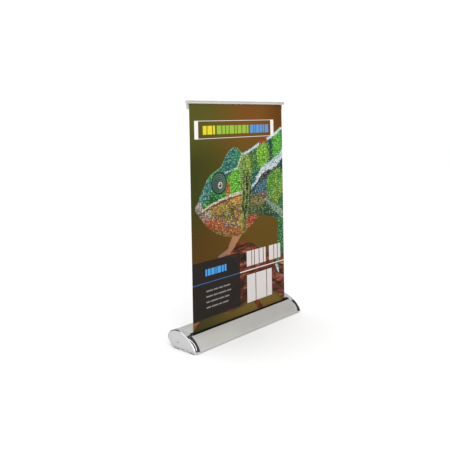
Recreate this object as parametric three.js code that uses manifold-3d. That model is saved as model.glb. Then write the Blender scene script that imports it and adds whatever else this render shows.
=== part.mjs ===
// Table-top roll-up banner stand. Millimetres, +Z up.
// X runs along the cassette, -Y is the printed front, z = 0 is the table.
// The cassette holds a spring-driven roller. The film leaves it through a slot, hangs from the
// top rail, and a two-part pole behind it holds the rail up.
import * as THREE from 'three';
import { mergeVertices } from 'three/addons/utils/BufferGeometryUtils.js';
import Module from 'manifold-3d';

const wasm = await Module();
wasm.setup();

// ---- driving dimensions ----
const BASE_LENGTH = 337;
const CAP_DEPTH = 13; // along X, the bright band at each end
const BASE_HALF_DEPTH = 40.5;
const BASE_HEIGHT = 38;
const FILM_WIDTH = 292;
const FILM_Y = -10; // plane of the film
const RAIL_TOP_Z = 482;
const RAIL_LENGTH = 301;
const FIT_GAP = 0.3; // left between every two pieces that touch

// ---- cassette ----
const FOOT_LIFT = 0.8; // the caps' underside above the table
const CASING_INSET = 1.2; // the casing sits this far inside the caps' outline
const CASING_WALL = 1.8;
const SLOT_FRONT_Y = FILM_Y - 6;
const SLOT_REAR_Y = FILM_Y + 0.9; // the film bends back under this lip
const CAP_RIM = 1.6;
const CAP_WEB = 3;
const PLATE_THICKNESS = 1.2;
const PLATE_RECESS = 0.3;
const SCREW_HEAD = { radius: 2.6, height: 2 };
const SCREW_SHANK = { radius: 1.1, length: 14 };
const SCREW_SEATS = [
  { name: 'front', y: -31.5, z: 6.8 },
  { name: 'rear', y: 31.8, z: 25.8 },
];
const PORT_RADIUS = 3.4; // of the screw ports inside the casing
const SKIRT_DEPTH = 8; // how far a cap reaches into the casing
const SKIRT_WALL = 1.4;
const SKIRT_FRONT_Y = -27; // the skirt stays out of the narrow nose
const PAD = { length: 9, depth: 15, height: 2.2, frontY: -26, rearY: 16 };

// ---- roller ----
const ROLLER_Y = 10;
const ROLLER_Z = 14;
const TUBE_RADIUS = 8;
const TUBE_WALL = 1.1;
const TUBE_LENGTH = FILM_WIDTH + 2;
const ROLL_RADIUS = 9; // over the film that stays wound at full height
const PIN_RADIUS = 2.5;
const PLUG = { depth: 9, flange: 1.6 };
const SPINDLE_REACH = 92; // the spindle's length inside the roller
const SPRING = { radius: 4.4, wire: 0.6, pitch: 3.6, length: 72 };
const ANCHOR_DEPTH = 5;

// ---- film ----
const FILM_THICKNESS = 0.4;
const FILM_BOTTOM_Z = 26.5;
const TAPE_HEIGHT = 9;
const TAPE_THICKNESS = 0.3;

// ---- top rail, (y, z) measured from the film plane and down from the rail's top ----
const HEAD_HEIGHT = 6.4;
const HEAD_FRONT = 5; // how far the rounded head stands before the film
const HEAD_WALL = 1.2;
const LEG_FRONT_Y = FILM_Y + 1.1;
const LEG_WALL = 1.5;
const LEG_BOTTOM = 17.3;
const RAIL_CAP = { thickness: 1.2, plug: 8 };
// The bracket behind the rail's middle is an upturned channel that takes the pole's hook.
const BRACKET = { width: 30, wall: 1, pocket: 3, top: 2, frontBottom: 17, rearBottom: 16 };

// ---- pole ----
const POLE_Y = 2.5;
const POLE_RADIUS = 4;
const POLE_WALL = 0.9;
const POLE_BOTTOM_Z = 25.8;
const POLE_TOP_Z = 444;
const FERRULE = { radius: 2.8, reach: 25, collar: 2 };
const SOCKET = { bottom: 24.3, shoulder: 30, top: 37.6, lower: 5.2, upper: 6.4, mouth: 0.8 };
const TIP = { plug: 14, collar: 4 };
const BLADE = { width: 12, thickness: 1.6, bendBottom: 454, bendTop: 462, top: 475.6 };

// ---- helpers ----
const HALF = BASE_LENGTH / 2;
const CAP_INNER_X = HALF - CAP_DEPTH;
const CASING_HALF = CAP_INNER_X - FIT_GAP;
const ROUND = 32; // facets of a round piece

/** A closed three.js geometry as a solid. */
function solid(geometry) {
  const plain = geometry.clone();
  plain.deleteAttribute('normal');
  plain.deleteAttribute('uv');
  const merged = mergeVertices(plain, 1e-5);
  return new wasm.Manifold(new wasm.Mesh({
    numProp: 3,
    vertProperties: merged.attributes.position.array,
    triVerts: new Uint32Array(merged.index.array),
  }));
}

/** Profiles are drawn in (y, z) and run along X. */
const ALONG_X = new THREE.Matrix4().makeBasis(
  new THREE.Vector3(0, 1, 0),
  new THREE.Vector3(0, 0, 1),
  new THREE.Vector3(1, 0, 0),
);

/** A (y, z) shape or list of points run from x0 to x1. */
function runX(profile, x0, x1, curveSegments = 10) {
  const shape = profile instanceof THREE.Shape ? profile : new THREE.Shape(profile);
  const geometry = new THREE.ExtrudeGeometry(shape, {
    depth: x1 - x0,
    bevelEnabled: false,
    curveSegments,
  });
  return solid(geometry.applyMatrix4(ALONG_X).translate(x0, 0, 0));
}

/** A round or many-sided bar along X. */
function barX(radius, x0, x1, y, z, sides = ROUND) {
  const geometry = new THREE.CylinderGeometry(radius, radius, Math.abs(x1 - x0), sides);
  return solid(geometry.rotateZ(Math.PI / 2).translate((x0 + x1) / 2, y, z));
}

function block(x0, x1, y0, y1, z0, z1) {
  const geometry = new THREE.BoxGeometry(Math.abs(x1 - x0), Math.abs(y1 - y0), Math.abs(z1 - z0));
  return solid(geometry.translate((x0 + x1) / 2, (y0 + y1) / 2, (z0 + z1) / 2));
}

/** A turned piece on the pole's axis, from (radius, z) points that start and end on the axis. */
function turned(outline, sides = ROUND) {
  const points = outline.map(([r, z]) => new THREE.Vector2(r, z));
  const geometry = new THREE.LatheGeometry(points, sides);
  return solid(geometry.rotateX(Math.PI / 2).translate(0, POLE_Y, 0));
}

const group = new THREE.Group();
group.name = 'rollup_banner_stand';

function add(name, shape, material) {
  const mesh = shape.getMesh();
  const geometry = new THREE.BufferGeometry();
  geometry.setAttribute('position', new THREE.BufferAttribute(mesh.vertProperties, 3));
  geometry.setIndex(new THREE.BufferAttribute(mesh.triVerts, 1));
  const look = new THREE.MeshStandardMaterial(material);
  look.name = material.name;
  const node = new THREE.Mesh(geometry, look);
  node.name = name;
  group.add(node);
}

const ALUMINIUM = { name: 'anodised_aluminium', color: 0xbdbab0, metalness: 0.9, roughness: 0.38 };
const CHROME = { name: 'chrome', color: 0xc8c8c8, metalness: 1, roughness: 0.08 };
const GREY = { name: 'grey_plate', color: 0xcbcbcb, metalness: 0, roughness: 0.5 };
const STEEL = { name: 'steel', color: 0x8d8d90, metalness: 1, roughness: 0.35 };
const BLACK = { name: 'black_plastic', color: 0x161616, metalness: 0, roughness: 0.5 };
const RUBBER = { name: 'rubber', color: 0x1c1c1c, metalness: 0, roughness: 0.85 };
const FILM = { name: 'printed_film', color: 0x5d5a36, metalness: 0, roughness: 0.5 };
const LINER = { name: 'liner_film', color: 0xd9d9d6, metalness: 0, roughness: 0.5 };

// ---- cassette outline: flat underneath, full at the back, sloping down to a nose in front ----
function capOutline() {
  const crownY = 11;
  const front = -BASE_HALF_DEPTH;
  const sole = { front: front + 3.8, rear: 23 };
  const back = new THREE.Vector2(BASE_HALF_DEPTH, 20);
  const outline = new THREE.Shape();
  outline.moveTo(sole.front, FOOT_LIFT);
  // Points close together behind the nose, so that an inset outline keeps its flat sole.
  for (let step = 1; step <= 4; step += 1) outline.lineTo(sole.front + 1.5 * step, FOOT_LIFT);
  outline.lineTo(sole.rear, FOOT_LIFT);
  outline.bezierCurveTo(31, FOOT_LIFT + 0.4, back.x, 12, back.x, back.y);
  outline.bezierCurveTo(back.x, 30.5, 24, BASE_HEIGHT, crownY, BASE_HEIGHT);
  outline.bezierCurveTo(2, BASE_HEIGHT, -31, 27.5, front + 0.6, 3.6);
  outline.bezierCurveTo(front - 0.2, 1.3, front + 1.4, FOOT_LIFT, sole.front, FOOT_LIFT);
  return outline;
}

/** How far a point is from a closed line of points. */
function clearance(point, line) {
  const gaps = line.map((start, i) => {
    const edge = line[(i + 1) % line.length].clone().sub(start);
    const share = point.clone().sub(start).dot(edge) / edge.lengthSq();
    const nearest = start.clone().addScaledVector(edge, THREE.MathUtils.clamp(share, 0, 1));
    return nearest.distanceTo(point);
  });
  return Math.min(...gaps);
}

/** The outline's points moved inwards by a distance, without those a tight corner folds over. */
function inset(distance) {
  const points = capOutline().getPoints(9);
  points.pop();
  const moved = points.map((point, i) => {
    const before = points[(i + points.length - 1) % points.length];
    const after = points[(i + 1) % points.length];
    const along = after.clone().sub(before).normalize();
    return new THREE.Vector2(point.x - along.y * distance, point.y + along.x * distance);
  });
  return moved.filter((point) => clearance(point, points) > distance * 0.98 - 1e-6);
}

function casing() {
  const outer = runX(inset(CASING_INSET), -CASING_HALF, CASING_HALF);
  const ports = SCREW_SEATS.map(({ y, z }) => barX(PORT_RADIUS, -CASING_HALF, CASING_HALF, y, z));
  const hollow = runX(inset(CASING_INSET + CASING_WALL), -HALF, HALF);
  const bores = SCREW_SEATS.map(({ y, z }) => (
    barX(SCREW_SHANK.radius + FIT_GAP, -HALF, HALF, y, z, 16)
  ));
  const slot = block(-HALF, HALF, SLOT_FRONT_Y, SLOT_REAR_Y, ROLLER_Z + TUBE_RADIUS, RAIL_TOP_Z);
  let shape = outer.subtract(hollow);
  for (const port of ports) shape = shape.add(port.intersect(outer));
  for (const bore of bores) shape = shape.subtract(bore);
  const socketHole = turned([
    [0, SOCKET.shoulder],
    [SOCKET.upper + FIT_GAP, SOCKET.shoulder],
    [SOCKET.upper + FIT_GAP, RAIL_TOP_Z],
    [0, RAIL_TOP_Z],
  ]);
  return shape.subtract(slot).subtract(socketHole);
}
add('casing', casing(), ALUMINIUM);

/** Places along X inside a cap, counted inwards from its outer face; side is -1 or 1. */
const PLATE_INNER = PLATE_RECESS + PLATE_THICKNESS;
const WEB_OUTER = PLATE_INNER + FIT_GAP + SCREW_HEAD.height + FIT_GAP;
const WEB_INNER = WEB_OUTER + CAP_WEB;
const BOSS_INNER = 18;
const at = (side, inward) => side * (HALF - inward);
const span = (side, a, b) => [at(side, a), at(side, b)].sort((p, q) => p - q);

function endCap(side) {
  const body = runX(inset(0), ...span(side, 0, CAP_DEPTH));
  const panel = runX(inset(CAP_RIM), ...span(side, -1, WEB_OUTER));
  const cup = runX(inset(CAP_RIM), ...span(side, WEB_INNER, HALF));
  const skirtReach = span(side, WEB_INNER - 1, CAP_DEPTH + SKIRT_DEPTH);
  const skirtInset = CASING_INSET + CASING_WALL + FIT_GAP;
  const skirt = runX(inset(skirtInset), ...skirtReach)
    .intersect(block(...skirtReach, SKIRT_FRONT_Y, BASE_HALF_DEPTH, 0, BASE_HEIGHT))
    .subtract(runX(inset(skirtInset + SKIRT_WALL), ...span(side, WEB_INNER, HALF)));
  const boss = barX(PIN_RADIUS + 2.4, ...span(side, WEB_INNER - 1, BOSS_INNER), ROLLER_Y, ROLLER_Z);
  let shape = body.subtract(panel).subtract(cup).add(skirt).add(boss);
  for (const { y, z } of SCREW_SEATS) {
    const portRoom = PORT_RADIUS + FIT_GAP;
    shape = shape.subtract(barX(portRoom, ...span(side, CAP_DEPTH, HALF), y, z));
    shape = shape.subtract(barX(SCREW_SHANK.radius + FIT_GAP, ...span(side, 0, HALF), y, z, 16));
  }
  const pinSides = side < 0 ? 6 : ROUND;
  shape = shape.subtract(barX(PIN_RADIUS + FIT_GAP, ...span(side, 0, HALF), ROLLER_Y, ROLLER_Z, pinSides));
  for (const y of [PAD.frontY, PAD.rearY]) {
    shape = shape.subtract(padBlock(side, y, FIT_GAP, -1, PAD.height + FIT_GAP));
  }
  return shape;
}

function padBlock(side, y, gap, z0, z1) {
  const middle = side * (HALF - CAP_DEPTH / 2);
  const halfLength = PAD.length / 2 + gap;
  const halfDepth = PAD.depth / 2 + gap;
  return block(middle - halfLength, middle + halfLength, y - halfDepth, y + halfDepth, z0, z1);
}

function capPlate(side) {
  const plate = runX(inset(CAP_RIM + FIT_GAP), ...span(side, PLATE_RECESS, PLATE_INNER));
  const eye = barX(1.4, ...span(side, -1, WEB_OUTER), ROLLER_Y, ROLLER_Z, 20);
  return side < 0 ? plate.subtract(eye) : plate;
}

function capScrew(side, { y, z }) {
  const headInner = PLATE_INNER + FIT_GAP + SCREW_HEAD.height;
  const head = barX(SCREW_HEAD.radius, ...span(side, PLATE_INNER + FIT_GAP, headInner), y, z, 24);
  const shank = barX(SCREW_SHANK.radius, ...span(side, headInner - 0.5, headInner + SCREW_SHANK.length), y, z, 16);
  const drive = barX(1.1, ...span(side, 0, PLATE_INNER + FIT_GAP + 1.2), y, z, 6);
  return head.add(shank).subtract(drive);
}

for (const [side, hand] of [[-1, 'left'], [1, 'right']]) {
  add(`end_cap_${hand}`, endCap(side), CHROME);
  add(`cap_plate_${hand}`, capPlate(side), GREY);
  for (const seat of SCREW_SEATS) add(`cap_screw_${hand}_${seat.name}`, capScrew(side, seat), STEEL);
  add(`foot_pad_${hand}_front`, padBlock(side, PAD.frontY, 0, 0, PAD.height), RUBBER);
  add(`foot_pad_${hand}_rear`, padBlock(side, PAD.rearY, 0, 0, PAD.height), RUBBER);
}

// ---- roller: the spindle and spring stand still, the tube turns round them ----
const TUBE_HALF = TUBE_LENGTH / 2;
const TUBE_INNER = TUBE_RADIUS - TUBE_WALL;
const SPINDLE_END_X = -TUBE_HALF + SPINDLE_REACH;
const onAxis = (radius, x0, x1, sides) => barX(radius, x0, x1, ROLLER_Y, ROLLER_Z, sides);

add(
  'roller_tube',
  onAxis(TUBE_RADIUS, -TUBE_HALF, TUBE_HALF).subtract(onAxis(TUBE_INNER, -HALF, HALF)),
  ALUMINIUM,
);

function rollerPlug(side) {
  const face = side * (TUBE_HALF + FIT_GAP);
  const plug = onAxis(TUBE_INNER - FIT_GAP, face, side * (TUBE_HALF - PLUG.depth));
  const flange = onAxis(TUBE_RADIUS - 0.2, face, face + side * PLUG.flange);
  return plug.add(flange).subtract(onAxis(PIN_RADIUS + FIT_GAP, side * (TUBE_HALF - HALF), side * HALF));
}
add('roller_bush_left', rollerPlug(-1), BLACK);
add('roller_bush_right', rollerPlug(1), BLACK);
add('spindle', onAxis(PIN_RADIUS, -(HALF - PLATE_INNER - FIT_GAP), SPINDLE_END_X, 6), STEEL);
add('idler_pin', onAxis(PIN_RADIUS, HALF - WEB_OUTER, TUBE_HALF - PLUG.depth), STEEL);

class Helix extends THREE.Curve {
  getPoint(t, target = new THREE.Vector3()) {
    const turn = 2 * Math.PI * (SPRING.length / SPRING.pitch) * t;
    return target.set(
      SPINDLE_END_X - ANCHOR_DEPTH - SPRING.length * t,
      ROLLER_Y + SPRING.radius * Math.cos(turn),
      ROLLER_Z + SPRING.radius * Math.sin(turn),
    );
  }
}

function spring() {
  const wire = new THREE.Shape();
  wire.absarc(0, 0, SPRING.wire, 0, 2 * Math.PI);
  return solid(new THREE.ExtrudeGeometry(wire, {
    steps: Math.round((SPRING.length / SPRING.pitch) * 14),
    curveSegments: 6,
    bevelEnabled: false,
    extrudePath: new Helix(),
  }));
}
add('retract_spring', spring(), STEEL);
add(
  'spring_anchor',
  onAxis(TUBE_INNER - FIT_GAP, SPINDLE_END_X - ANCHOR_DEPTH + 1.2, SPINDLE_END_X)
    .subtract(onAxis(PIN_RADIUS + FIT_GAP, -HALF, HALF)),
  BLACK,
);
add(
  'film_roll',
  onAxis(ROLL_RADIUS, -FILM_WIDTH / 2, FILM_WIDTH / 2, 40)
    .subtract(onAxis(TUBE_RADIUS + FIT_GAP, -HALF, HALF, 40)),
  LINER,
);

// ---- film: a leader off the front of the roll, then the printed film up to the rail ----
function leader() {
  const start = new THREE.Vector2(FILM_Y, FILM_BOTTOM_Z - FIT_GAP - FILM_THICKNESS);
  const centre = new THREE.Vector2(ROLLER_Y, ROLLER_Z);
  const toCentre = centre.clone().sub(start);
  const reach = ROLL_RADIUS + FIT_GAP + FILM_THICKNESS / 2;
  const swing = Math.asin(reach / toCentre.length());
  const run = Math.sqrt(toCentre.lengthSq() - reach * reach);
  const along = toCentre.clone().rotateAround(new THREE.Vector2(), -swing).setLength(1);
  const half = new THREE.Vector2(-along.y, along.x).multiplyScalar(FILM_THICKNESS / 2);
  const end = start.clone().addScaledVector(along, run);
  return [
    start.clone().sub(half),
    end.clone().sub(half),
    end.clone().add(half),
    start.clone().add(half),
  ];
}
add('film_leader', runX(leader(), -FILM_WIDTH / 2, FILM_WIDTH / 2), LINER);

const HEAD_BOTTOM_Z = RAIL_TOP_Z - HEAD_HEIGHT;
const FILM_TOP_Z = HEAD_BOTTOM_Z - FIT_GAP;
add(
  'banner_film',
  block(
    -FILM_WIDTH / 2,
    FILM_WIDTH / 2,
    FILM_Y - FILM_THICKNESS / 2,
    FILM_Y + FILM_THICKNESS / 2,
    FILM_BOTTOM_Z,
    FILM_TOP_Z,
  ),
  FILM,
);
const TAPE_Y = FILM_Y + FILM_THICKNESS / 2 + FIT_GAP;
add(
  'rail_tape',
  block(
    -FILM_WIDTH / 2,
    FILM_WIDTH / 2,
    TAPE_Y,
    TAPE_Y + TAPE_THICKNESS,
    FILM_TOP_Z - TAPE_HEIGHT,
    FILM_TOP_Z,
  ),
  LINER,
);

// ---- top rail: a rounded head and a leg behind the film ----
const LEG_REAR_Y = LEG_FRONT_Y + LEG_WALL;
const HEAD_FRONT_Y = FILM_Y - HEAD_FRONT;
const fromTop = (down) => RAIL_TOP_Z - down;

/** The head's end face, which the end caps cover, from its top rear corner round to its bottom. */
function headFace() {
  const radius = HEAD_HEIGHT / 2;
  const shape = new THREE.Shape();
  shape.moveTo(LEG_REAR_Y, RAIL_TOP_Z);
  shape.lineTo(HEAD_FRONT_Y + radius, RAIL_TOP_Z);
  shape.absarc(HEAD_FRONT_Y + radius, fromTop(radius), radius, Math.PI / 2, 1.5 * Math.PI, false);
  return shape;
}

function headProfile() {
  const shape = headFace();
  shape.lineTo(LEG_REAR_Y, HEAD_BOTTOM_Z);
  return shape;
}

function railProfile() {
  const shape = headFace();
  shape.lineTo(LEG_FRONT_Y, HEAD_BOTTOM_Z);
  shape.lineTo(LEG_FRONT_Y, fromTop(LEG_BOTTOM));
  shape.lineTo(LEG_REAR_Y, fromTop(LEG_BOTTOM));
  return shape;
}

/** The hollow in the head, drawn smaller by a clearance for the plug that fills it. */
function headHollow(clearance) {
  const wall = HEAD_WALL + clearance;
  const radius = HEAD_HEIGHT / 2 - wall;
  const shape = new THREE.Shape();
  shape.moveTo(LEG_FRONT_Y - clearance, fromTop(wall));
  shape.lineTo(HEAD_FRONT_Y + wall + radius, fromTop(wall));
  shape.absarc(
    HEAD_FRONT_Y + wall + radius,
    fromTop(wall + radius),
    radius,
    Math.PI / 2,
    1.5 * Math.PI,
    false,
  );
  shape.lineTo(LEG_FRONT_Y - clearance, fromTop(wall + 2 * radius));
  return shape;
}
const RAIL_HALF = RAIL_LENGTH / 2;
add(
  'top_rail',
  runX(railProfile(), -RAIL_HALF, RAIL_HALF).subtract(runX(headHollow(0), -HALF, HALF)),
  ALUMINIUM,
);

function railCap(side) {
  const face = side * (RAIL_HALF + FIT_GAP);
  const order = (a, b) => [a, b].sort((p, q) => p - q);
  const lid = runX(headProfile(), ...order(face, face + side * RAIL_CAP.thickness));
  const plug = runX(headHollow(FIT_GAP), ...order(face, side * (RAIL_HALF - RAIL_CAP.plug)));
  return lid.add(plug);
}
add('rail_cap_left', railCap(-1), GREY);
add('rail_cap_right', railCap(1), GREY);

const BRACKET_FRONT_Y = LEG_REAR_Y + FIT_GAP;
const POCKET_FRONT_Y = BRACKET_FRONT_Y + BRACKET.wall;
const POCKET_REAR_Y = POCKET_FRONT_Y + BRACKET.pocket;
const BRACKET_REAR_Y = POCKET_REAR_Y + BRACKET.wall;
const BRACKET_ROOF = BRACKET.top + 1.6 * BRACKET.wall;
add(
  'rail_bracket',
  runX(
    [
      new THREE.Vector2(BRACKET_FRONT_Y, fromTop(BRACKET.top)),
      new THREE.Vector2(BRACKET_FRONT_Y, fromTop(BRACKET.frontBottom)),
      new THREE.Vector2(POCKET_FRONT_Y, fromTop(BRACKET.frontBottom)),
      new THREE.Vector2(POCKET_FRONT_Y, fromTop(BRACKET_ROOF)),
      new THREE.Vector2(POCKET_REAR_Y, fromTop(BRACKET_ROOF)),
      new THREE.Vector2(POCKET_REAR_Y, fromTop(BRACKET.rearBottom)),
      new THREE.Vector2(BRACKET_REAR_Y, fromTop(BRACKET.rearBottom)),
      new THREE.Vector2(BRACKET_REAR_Y, fromTop(BRACKET.top)),
    ],
    -BRACKET.width / 2,
    BRACKET.width / 2,
  ),
  STEEL,
);

// ---- pole: a socket in the cassette, two tubes joined by a ferrule, a hook for the rail ----
const BORE = POLE_RADIUS + FIT_GAP;
add(
  'pole_socket',
  turned([
    [0, SOCKET.bottom],
    [SOCKET.lower, SOCKET.bottom],
    [SOCKET.lower, SOCKET.shoulder],
    [SOCKET.upper, SOCKET.shoulder],
    [SOCKET.upper, SOCKET.top],
    [BORE + SOCKET.mouth, SOCKET.top],
    [BORE, SOCKET.top - SOCKET.mouth],
    [BORE, POLE_BOTTOM_Z - FIT_GAP],
    [0, POLE_BOTTOM_Z - FIT_GAP],
  ]),
  BLACK,
);

/** A tube on the pole's axis. */
function tube(bottom, top) {
  const bore = POLE_RADIUS - POLE_WALL;
  const outer = turned([[0, bottom], [POLE_RADIUS, bottom], [POLE_RADIUS, top], [0, top]]);
  const inner = turned([[0, bottom - 1], [bore, bottom - 1], [bore, top + 1], [0, top + 1]]);
  return outer.subtract(inner);
}
const JOINT_Z = (POLE_BOTTOM_Z + POLE_TOP_Z) / 2;
const COLLAR_TOP_Z = JOINT_Z + FERRULE.collar;
add('pole_lower', tube(POLE_BOTTOM_Z, JOINT_Z), ALUMINIUM);
add(
  'pole_ferrule',
  turned([
    [0, JOINT_Z - FERRULE.reach],
    [FERRULE.radius, JOINT_Z - FERRULE.reach],
    [FERRULE.radius, JOINT_Z + FIT_GAP],
    [POLE_RADIUS, JOINT_Z + FIT_GAP],
    [POLE_RADIUS, COLLAR_TOP_Z],
    [FERRULE.radius, COLLAR_TOP_Z],
    [FERRULE.radius, COLLAR_TOP_Z + FERRULE.reach],
    [0, COLLAR_TOP_Z + FERRULE.reach],
  ]),
  BLACK,
);
add('pole_upper', tube(COLLAR_TOP_Z + FIT_GAP, POLE_TOP_Z), ALUMINIUM);

const TIP_TOP_Z = POLE_TOP_Z + FIT_GAP + TIP.collar;
const BLADE_Y = (POCKET_FRONT_Y + POCKET_REAR_Y) / 2;
const bladeRoom = block(
  -BLADE.width / 2 - FIT_GAP,
  BLADE.width / 2 + FIT_GAP,
  POLE_Y - BLADE.thickness / 2 - FIT_GAP,
  POLE_Y + BLADE.thickness / 2 + FIT_GAP,
  TIP_TOP_Z - TIP.collar + FIT_GAP,
  RAIL_TOP_Z,
);

/** The hook's side view: up the pole's axis, forward under the bracket, up into its pocket. */
function bladeProfile() {
  const t = BLADE.thickness / 2;
  const foot = TIP_TOP_Z - TIP.collar + 2 * FIT_GAP;
  return [
    new THREE.Vector2(POLE_Y - t, foot),
    new THREE.Vector2(POLE_Y + t, foot),
    new THREE.Vector2(POLE_Y + t, BLADE.bendBottom + t),
    new THREE.Vector2(BLADE_Y + t, BLADE.bendTop + t),
    new THREE.Vector2(BLADE_Y + t, BLADE.top),
    new THREE.Vector2(BLADE_Y - t, BLADE.top),
    new THREE.Vector2(BLADE_Y - t, BLADE.bendTop - t),
    new THREE.Vector2(POLE_Y - t, BLADE.bendBottom - t),
  ];
}
const plugRadius = POLE_RADIUS - POLE_WALL - FIT_GAP;
add(
  'pole_tip',
  turned([
    [0, POLE_TOP_Z - TIP.plug],
    [plugRadius, POLE_TOP_Z - TIP.plug],
    [plugRadius, POLE_TOP_Z + FIT_GAP],
    [POLE_RADIUS, POLE_TOP_Z + FIT_GAP],
    [POLE_RADIUS, TIP_TOP_Z],
    [0, TIP_TOP_Z],
  ]).subtract(bladeRoom),
  BLACK,
);
add('pole_hook', runX(bladeProfile(), -BLADE.width / 2, BLADE.width / 2), STEEL);

export default group;
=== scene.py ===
"""Looks of the table-top roll-up banner stand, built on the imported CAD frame. Metres, +Z up."""
import math

import bpy
import numpy as np
from mathutils import Matrix, Vector


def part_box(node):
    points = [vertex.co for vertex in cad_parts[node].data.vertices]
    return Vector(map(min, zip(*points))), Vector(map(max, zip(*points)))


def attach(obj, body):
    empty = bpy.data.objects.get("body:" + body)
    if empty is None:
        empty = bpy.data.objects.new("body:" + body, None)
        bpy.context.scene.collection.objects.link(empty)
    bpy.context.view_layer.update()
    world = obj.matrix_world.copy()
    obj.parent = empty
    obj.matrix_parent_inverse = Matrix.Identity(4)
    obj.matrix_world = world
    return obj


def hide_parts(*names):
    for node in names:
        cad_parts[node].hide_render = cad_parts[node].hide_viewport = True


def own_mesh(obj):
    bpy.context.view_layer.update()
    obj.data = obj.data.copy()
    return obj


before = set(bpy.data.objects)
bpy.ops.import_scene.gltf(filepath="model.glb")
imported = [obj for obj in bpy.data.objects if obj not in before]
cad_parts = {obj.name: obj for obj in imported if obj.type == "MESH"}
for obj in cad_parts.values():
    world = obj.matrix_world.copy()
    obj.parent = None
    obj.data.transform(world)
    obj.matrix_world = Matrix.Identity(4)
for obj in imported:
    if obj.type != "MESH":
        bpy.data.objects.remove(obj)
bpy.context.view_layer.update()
MM = 0.001

# ---- sizes, from the frame ----
CAP_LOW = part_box("end_cap_left")[0]
CASING_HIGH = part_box("casing")[1]
FILM_LOW, FILM_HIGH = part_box("banner_film")
RAIL_LOW, RAIL_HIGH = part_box("top_rail")
SOCKET_LOW, SOCKET_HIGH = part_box("pole_socket")
HALF_LENGTH = -CAP_LOW.x
HALF_DEPTH = 40.5 * MM
BASE_HEIGHT = 38 * MM
FOOT_LIFT = 0.8 * MM
CASING_INSET = 1.2 * MM
CASING_WALL = 1.8 * MM
FILM_Y = (FILM_LOW.y + FILM_HIGH.y) / 2
FILM_WIDTH = FILM_HIGH.x - FILM_LOW.x
PRINT_BOTTOM = 29.5 * MM  # where the film leaves the slot
SLOT_FRONT = FILM_Y - 6 * MM
SLOT_REAR = FILM_Y + 0.9 * MM
ROLLER_Y, ROLLER_Z = 10 * MM, 14 * MM
POLE_Y = (SOCKET_LOW.y + SOCKET_HIGH.y) / 2
FIT_GAP = 0.3 * MM


# ---- camera ----
def place_camera():
    """From the left, almost level, with the picture shifted downwards."""
    heading, pitch, roll = math.radians(-47.18), math.radians(1.05), math.radians(-1.03)
    ahead = Vector((
        -math.sin(heading) * math.cos(pitch),
        math.cos(heading) * math.cos(pitch),
        -math.sin(pitch),
    ))
    level = ahead.cross(Vector((0, 0, 1))).normalized()
    upright = level.cross(ahead)
    right = level * math.cos(roll) + upright * math.sin(roll)
    up = upright * math.cos(roll) - level * math.sin(roll)
    camera = bpy.data.objects.new("camera", bpy.data.cameras.new("camera"))
    bpy.context.scene.collection.objects.link(camera)
    camera.matrix_world = Matrix((
        (right.x, up.x, -ahead.x, -0.9390),
        (right.y, up.y, -ahead.y, -0.8388),
        (right.z, up.z, -ahead.z, 0.4407),
        (0, 0, 0, 1),
    ))
    # The height sets the picture. The narrow width only makes other views stand further back.
    camera.data.sensor_fit = "VERTICAL"
    camera.data.sensor_height = 36
    camera.data.sensor_width = 23
    camera.data.lens = 47.48
    camera.data.shift_y = -0.2067
    bpy.context.scene.camera = camera


place_camera()


# ---- mesh helpers ----
def add_mesh(name, points, faces, material, body, angle=32, node=None):
    """A shown mesh piece that rides on a body and stands for its CAD node."""
    mesh = bpy.data.meshes.new(name)
    mesh.from_pydata([tuple(p) for p in points], [], faces)
    mesh.validate()
    return finish_mesh(name, mesh, material, body, angle, node)


def finish_mesh(name, mesh, material, body, angle=32, node=None):
    mesh.shade_smooth()
    mesh.set_sharp_from_angle(angle=math.radians(angle))
    mesh.materials.clear()
    for one in material if isinstance(material, list) else [material]:
        mesh.materials.append(one)
    piece = bpy.data.objects.new(name, mesh)
    bpy.context.scene.collection.objects.link(piece)
    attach(piece, body)
    for one in [node] if isinstance(node, str) else node or []:
        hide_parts(one)
    return piece


def loft(rings, cap_start=True, cap_end=True):
    """Points and faces through rings that all hold the same number of points."""
    count = len(rings[0])
    points = [p for ring in rings for p in ring]
    faces = []
    for r in range(len(rings) - 1):
        for i in range(count):
            j = (i + 1) % count
            faces.append((r * count + i, r * count + j, (r + 1) * count + j, (r + 1) * count + i))
    if cap_start:
        faces.append(tuple(range(count))[::-1])
    if cap_end:
        faces.append(tuple(range((len(rings) - 1) * count, len(rings) * count)))
    return points, faces


def bezier(start, a, b, end, steps):
    """Points after start, up to and with end."""
    t = np.linspace(0, 1, steps + 1)[1:, None]
    start, a, b, end = (np.array(p, float) for p in (start, a, b, end))
    return (1 - t) ** 3 * start + 3 * t * (1 - t) ** 2 * a + 3 * t * t * (1 - t) * b + t**3 * end


def cassette_outline(steps=28):
    """The caps' drop shape as (y, z), from under the nose, along the sole, round the back."""
    d, h, f = HALF_DEPTH / MM, BASE_HEIGHT / MM, FOOT_LIFT / MM
    crown, sole, nose = (11, h), (23, f), (-d + 0.6, 3.6)
    start = (-d + 3.8, f)
    runs = [
        np.array([start]),
        np.linspace(start, sole, 25)[1:],
        bezier(sole, (31, f + 0.4), (d, 12), (d, 20), steps),
        bezier((d, 20), (d, 30.5), (24, h), crown, steps),
        bezier(crown, (2, h), (-31, 27.5), nose, steps),
        bezier(nose, (-d - 0.2, 1.3), (-d + 1.4, f), start, steps // 2)[:-1],
    ]
    return np.vstack(runs) * MM


def inset(distance):
    """The outline moved inwards, each point along its normal, held clear of the sole and nose."""
    line = cassette_outline()
    along = np.roll(line, -1, 0) - np.roll(line, 1, 0)
    along /= np.linalg.norm(along, axis=1)[:, None]
    moved = line + np.stack([-along[:, 1], along[:, 0]], 1) * distance
    return np.maximum(moved, line.min(0) + distance)


def at_x(line, x):
    return [(x, y, z) for y, z in line]


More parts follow.
